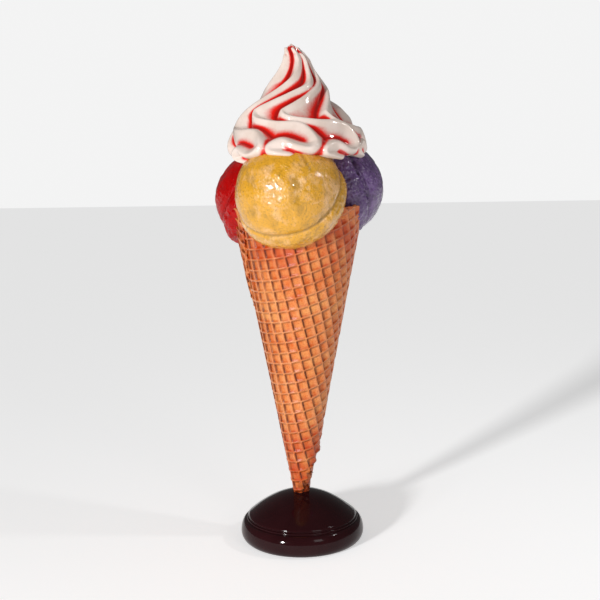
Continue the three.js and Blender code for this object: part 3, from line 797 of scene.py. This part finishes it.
def creaseField(places):
    # for points on the envelope: how far they lie from their own crest, how much further the
    # second crest is, how far below the own one it lies, the outward direction and the radius
    radius = np.hypot(places[:, 0], places[:, 1]) + 1e-9
    rise = (envelopeRadius(places[:, 2] - 1) - envelopeRadius(places[:, 2] + 1)) / 2
    outward = np.stack([places[:, 0] / radius, places[:, 1] / radius, rise], axis=1)
    outward /= np.linalg.norm(outward, axis=1)[:, None]
    upSlope = np.array([0, 0, 1]) - outward * outward[:, 2:3]
    upSlope /= np.linalg.norm(upSlope, axis=1)[:, None] + 1e-9
    leftwards = np.stack([places[:, 1] / radius, -places[:, 0] / radius, 0 * radius], axis=1)
    leaning = swirl["skew"] * (upSlope * math.cos(swirl["skewTurn"])
                               + leftwards * math.sin(swirl["skewTurn"]))
    steps, finer = 10, 8
    crests, runs = crestLines(steps)
    fineCrests, _ = crestLines(steps * finer)
    perFold = len(crests) // len(allFolds())
    own, further, below = (np.empty(len(places)) for _ in range(3))
    batch = 2000   # points looked at together, to save memory
    for first in range(0, len(places), batch):
        part = slice(first, first + batch)
        away = places[part, None, :] - crests[None]
        gap = np.linalg.norm(away, axis=2)
        cost = gap + np.einsum("ijk,ik->ij", away, leaning[part])
        nearest = cost.argmin(axis=1)
        row = np.arange(len(nearest))
        # the second crest is one that lies on another side of the point
        sameWay = np.einsum("ijk,ik->ij", away, away[row, nearest])
        sameWay /= gap * gap[row, nearest][:, None] + 1e-9
        apart = np.abs(runs[None] - runs[nearest][:, None]) > swirl["apart"]
        other = np.where(apart & (sameWay < 0.1), cost, 1e9)
        second = other.argmin(axis=1)
        further[part] = other[row, second]
        below[part] = np.einsum("ij,ij->i", crests[nearest] - crests[second], upSlope[part])
        # the own crest is looked for again on a finer line around the point found
        fold, step = nearest // perFold, nearest % perFold
        around = step[:, None] * finer + np.arange(-finer, finer + 1)[None]
        around = np.clip(around, 0, (perFold - 1) * finer) + (fold * ((perFold - 1) * finer + 1))[:, None]
        away = places[part, None, :] - fineCrests[around]
        cost = np.linalg.norm(away, axis=2) + np.einsum("ijk,ik->ij", away, leaning[part])
        own[part] = cost.min(axis=1)
    return own, further - own, below, outward, radius


def makeCreamMaterial():
    # Off-white gloss paint on resin, with red airbrushed along the creases and varnish over all:
    # warm white clouded at random with beige, a soft-edged red with maroon painted shade deep in the
    # crease.
    s = swirl
    material, tree, shader, place = newMaterial("gloss_paint_cream")
    clouds = addNode(tree, "ShaderNodeTexNoise", {
        "Scale": patternScale(s["cloudSize"]), "Detail": 4, "Roughness": 0.55,
    }, {"Vector": place})
    cloudAmount = addNode(tree, "ShaderNodeMapRange", {"From Min": 0.42, "From Max": 0.8, "To Max": 0.55},
                          {"Value": clouds.outputs["Fac"]})
    cream = addNode(tree, "ShaderNodeMix", {
        "data_type": "RGBA", 6: linearColour(s["cream"]), 7: linearColour(s["creamShade"]),
    }, {0: cloudAmount.outputs["Result"]})
    spray = addNode(tree, "ShaderNodeTexNoise", {
        "Scale": patternScale(s["spraySize"]), "Detail": 3, "Roughness": 0.7,
    }, {"Vector": place})
    painted = addNode(tree, "ShaderNodeAttribute", {"attribute_name": "crease"})
    speckled = addNode(tree, "ShaderNodeMath", {"operation": "MULTIPLY_ADD", 1: 0.3, 2: -0.15},
                       {0: spray.outputs["Fac"]})
    edge = addNode(tree, "ShaderNodeMath", {"operation": "ADD", "use_clamp": True},
                   {0: painted.outputs["Fac"], 1: speckled.outputs["Value"]})
    amount = addNode(tree, "ShaderNodeMapRange", {
        "interpolation_type": "SMOOTHSTEP", "From Min": 0.08, "From Max": 0.75,
    }, {"Value": edge.outputs["Value"]})
    # painted shade: the red turns maroon where the crease is deepest
    deepShade = addNode(tree, "ShaderNodeMapRange", {"From Min": 0.78, "From Max": 1, "To Max": 0.8},
                      {"Value": painted.outputs["Fac"]})
    red = addNode(tree, "ShaderNodeMix", {
        "data_type": "RGBA", 6: linearColour(s["redPaint"]), 7: linearColour(s["redInShade"]),
    }, {0: deepShade.outputs["Result"]})
    colour = addNode(tree, "ShaderNodeMix", {"data_type": "RGBA"},
                     {0: amount.outputs["Result"], 6: cream.outputs[2], 7: red.outputs[2]})
    tree.links.new(colour.outputs[2], shader.inputs["Base Color"])
    gloss = addNode(tree, "ShaderNodeMapRange", {
        "From Min": 0.3, "From Max": 0.75, "To Min": 0.06, "To Max": 0.15,
    }, {"Value": clouds.outputs["Fac"]})
    tree.links.new(gloss.outputs["Result"], shader.inputs["Roughness"])
    ripple = addNode(tree, "ShaderNodeTexNoise", {"Scale": patternScale(s["rippleSize"]), "Detail": 3},
                     {"Vector": place})
    bump = addNode(tree, "ShaderNodeBump", {"Strength": 0.15, "Distance": 0.002},
                   {"Height": ripple.outputs["Fac"]})
    tree.links.new(bump.outputs["Normal"], shader.inputs["Normal"])
    shader.inputs["IOR"].default_value = 1.5
    return material


def softened(mesh, values, rounds):
    # values at the vertices, blurred over their neighbours
    mesh.verts.index_update()
    ends = np.array([[vertex.index for vertex in edge.verts] for edge in mesh.edges])
    count = np.bincount(ends.ravel(), minlength=len(values))
    for _ in range(rounds):
        total = np.zeros(len(values))
        np.add.at(total, ends[:, 0], values[ends[:, 1]])
        np.add.at(total, ends[:, 1], values[ends[:, 0]])
        values = (values + total / count) / 2
    return values


def makeSwirl():
    s = swirl
    profile = evenlySpaced(envelopeLine, s["rings"])
    profile[0][0] = profile[-1][0] = 0
    mesh = spinProfile(profile, s["steps"])
    places = readVertices(mesh)
    own, further, below, outward, radius = creaseField(places)
    fall = s["creaseSlope"] * (np.sqrt(own ** 2 + s["crestRound"] ** 2) - s["crestRound"])
    limit = np.minimum(s["maxDepth"], s["depthShare"] * radius) + 1e-6
    depth = limit * np.tanh(fall / limit)
    underHem = np.clip((radius - 120) / 60, 0, 1)   # the creases fade out under the hem
    depth = np.where(places[:, 2] < s["hemHeight"], depth * underHem, depth)
    depth += 0.5 * (0.5 + fractalNoise(places, 45))
    # the very tip is wrung into fine red and white strands
    turned = np.arctan2(places[:, 0], -places[:, 1])
    strands = np.sin(s["strands"] * turned + (places[:, 2] - s["wrungFrom"]) / 6)
    wrung = smooth((places[:, 2] - s["wrungFrom"]) / s["wrungOver"])
    depth += s["strandDepth"] * wrung * (1 + strands) * smooth(radius / 15)
    folded = places - outward * depth[:, None]
    drape = s["drape"] * smooth(1 - np.abs(np.degrees(turned) - s["drapeTurn"]) / s["drapeWidth"])
    drape *= smooth(1 - np.abs(places[:, 2] - s["drapeHeight"]) / s["drapeReach"]) * smooth(radius / 150)
    folded[:, :2] += places[:, :2] * (drape / radius)[:, None]
    folded[:, 0] += s["lean"] * smooth(1 - np.abs(folded[:, 2] - s["leanHeight"]) / s["leanReach"])
    highest = s["envelope"][0][1]
    folded[:, 0] += s["tipBend"] * smooth((folded[:, 2] - s["tipStart"]) / (highest - s["tipStart"]))
    behind = np.maximum(folded[:, 1] - s["backStart"], 0)
    folded[:, 1] -= (1 - s["backDrawn"]) * behind
    writeVertices(mesh, folded)
    # the red runs up the face above each crease and stops short at the crest below it
    high = smooth((places[:, 2] - s["brushHeight"]) / 50)
    brush = s["brush"] + (s["brushBelow"] + s["brushHigh"] * high) * smooth(0.5 + below / 30)
    paint = np.exp(-np.maximum(further, 0) / brush) * smooth((depth - 4) / 9)
    blush = s["blush"] * np.exp(-np.maximum(further, 0) / s["blushReach"]) * smooth((depth - 2) / 12)
    streaks = s["streaks"] * wrung * smooth(0.3 + strands)
    streaks *= smooth(0.6 + 2 * fractalNoise(places, 20, 2))
    sprayed = np.maximum(1.4 * paint - 0.08, np.maximum(streaks, blush))
    writeLayer(mesh, "crease", softened(mesh, np.clip(sprayed, 0, 1), 3))
    finishPiece(mesh, "cream_swirl_shell", "cream_swirl", makeCreamMaterial())


studio = {
    "floorSize": 60,
    "floorColour": "#fcfcfc",
    "floorGlow": 0.46,     # a lit sweep: the floor itself gives a little light
    "skyStrength": 0.14,
    "skySeen": 0.9,        # the backdrop as the camera sees it
    # a low, soft-edged beam from the left of the front; rise in degrees above level
    "lowSun": {"turn": -36, "rise": 14, "angle": 5, "strength": 2.5},
    "softboxes": {
        # degrees to the right of the front, height, distance, size and power of each
        "key": {"turn": -37, "rise": 0.62, "far": 3.0, "size": 0.2, "power": 14},
        "glint": {"turn": 76, "rise": 2.7, "far": 2.6, "size": 0.2, "power": 13},
        "fill": {"turn": 30, "rise": 1.9, "far": 4.0, "size": 1.2, "power": 15},
    },
    "aim": (0, 0, 0.95),
}

# metres, radians, and mm for the lens
view = {
    "distance": 3.5893,
    "height": 1.3877,
    "pitch": 0.13671,      # downwards
    "yaw": 0.00078,
    "roll": -0.01367,
    "lens": 60,
    "sensor": 36,
}


def makeFloor():
    mesh = bmesh.new()
    bmesh.ops.create_grid(mesh, x_segments=4, y_segments=4, size=studio["floorSize"] / 2)
    data = bpy.data.meshes.new("floor")
    mesh.to_mesh(data)
    mesh.free()
    floor = bpy.data.objects.new("floor", data)
    bpy.context.collection.objects.link(floor)
    material, _, shader, _ = newMaterial("pale_floor")
    shader.inputs["Base Color"].default_value = linearColour(studio["floorColour"])
    shader.inputs["Emission Color"].default_value = linearColour(studio["floorColour"])
    shader.inputs["Emission Strength"].default_value = studio["floorGlow"]
    shader.inputs["Roughness"].default_value = 0.9
    data.materials.append(material)


def addSoftbox(name, spec):
    turned = math.radians(spec["turn"])
    light = bpy.data.lights.new(name, "AREA")
    light.shape = "SQUARE"
    light.size = spec["size"]
    light.energy = spec["power"]
    softbox = bpy.data.objects.new(name, light)
    bpy.context.collection.objects.link(softbox)
    softbox.location = (spec["far"] * math.sin(turned), -spec["far"] * math.cos(turned), spec["rise"])
    softbox.rotation_euler = (Vector(studio["aim"]) - softbox.location).to_track_quat("-Z", "Y").to_euler()


def makeLight():
    world = bpy.data.worlds.new("studio_sky")
    world.use_nodes = True
    tree = world.node_tree
    rays = addNode(tree, "ShaderNodeLightPath")
    seen = addNode(tree, "ShaderNodeMix", {
        "data_type": "FLOAT", 2: studio["skyStrength"], 3: studio["skySeen"],
    }, {0: rays.outputs["Is Camera Ray"]})
    tree.nodes["Background"].inputs["Color"].default_value = (1, 1, 1, 1)
    tree.links.new(seen.outputs[0], tree.nodes["Background"].inputs["Strength"])
    bpy.context.scene.world = world
    low = studio["lowSun"]
    sun = bpy.data.objects.new("low_sun", bpy.data.lights.new("low_sun", "SUN"))
    sun.data.angle = math.radians(low["angle"])
    sun.data.energy = low["strength"]
    sun.rotation_euler = (math.radians(90 - low["rise"]), 0, math.radians(low["turn"]))
    bpy.context.collection.objects.link(sun)
    for name, spec in studio["softboxes"].items():
        addSoftbox(name, spec)
    bpy.context.scene.view_settings.view_transform = "Standard"


def makeCamera():
    v = view
    camera = bpy.data.objects.new("camera", bpy.data.cameras.new("camera"))
    camera.data.lens, camera.data.sensor_width = v["lens"], v["sensor"]
    bpy.context.collection.objects.link(camera)
    forward = Vector((math.sin(v["yaw"]) * math.cos(v["pitch"]),
                      math.cos(v["yaw"]) * math.cos(v["pitch"]), -math.sin(v["pitch"])))
    level = Vector((math.cos(v["yaw"]), -math.sin(v["yaw"]), 0))
    upward = level.cross(forward)
    right = level * math.cos(v["roll"]) + upward * math.sin(v["roll"])
    up = upward * math.cos(v["roll"]) - level * math.sin(v["roll"])
    turn = Matrix((right, up, -forward)).transposed().to_4x4()
    camera.matrix_world = Matrix.Translation((0, -v["distance"], v["height"])) @ turn
    bpy.context.scene.camera = camera


makeCamera()
makeLight()
makeFloor()
makeStand()
makeWaffleCone()
for colour in scoops:
    makeScoop(colour)
makeSwirl()
